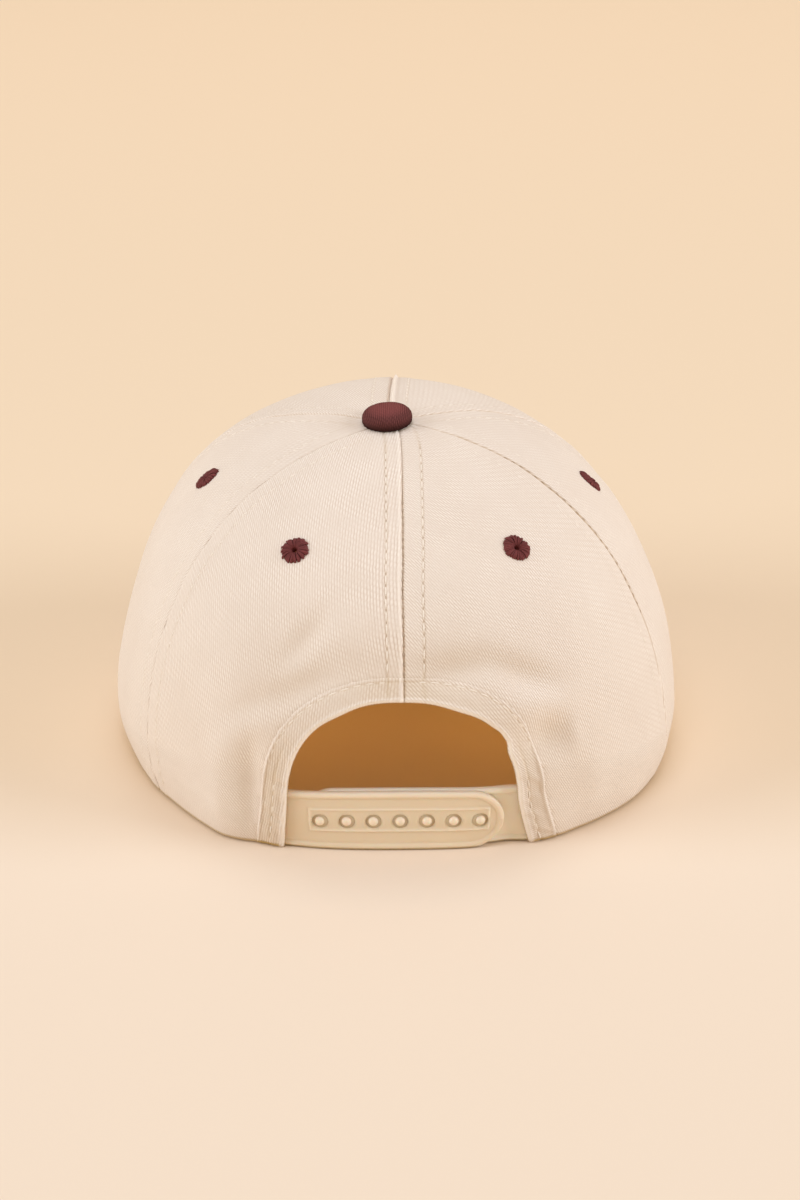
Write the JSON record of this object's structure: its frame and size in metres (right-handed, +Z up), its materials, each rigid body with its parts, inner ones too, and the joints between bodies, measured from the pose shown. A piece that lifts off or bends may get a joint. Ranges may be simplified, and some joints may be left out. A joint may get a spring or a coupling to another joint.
{
  "type": "snapback cap",
  "caption": "Six-panel cotton cap with a curved peak, covered top button, stitched eyelets and a snap strap under an arched back opening.",
  "frame": {"origin": "on the surface the cap rests on, under the middle of the whole cap, brim included", "axes": "+Z up from the rim to the button, +Y forward from the strap to the brim, +X to the right seen from behind"},
  "size_m": [0.1873, 0.2612, 0.1145],
  "materials": {
    "cloth": "cream cotton twill",
    "trim": "dark raisin cotton twill and thread",
    "strap": "satin tan plastic"
  },
  "bodies": {
    "root": {"panel_back_right": "cloth", "panel_side_right": "cloth", "panel_front_right": "cloth", "panel_front_left": "cloth", "panel_side_left": "cloth", "panel_back_left": "cloth", "eyelet_back_right": "trim", "eyelet_side_right": "trim", "eyelet_front_right": "trim", "eyelet_front_left": "trim", "eyelet_side_left": "trim", "eyelet_back_left": "trim", "opening_hem": "cloth", "top_button": "trim", "brim": "trim", "strap_outer": "strap", "strap_inner": "strap"}
  },
  "joints": []
}
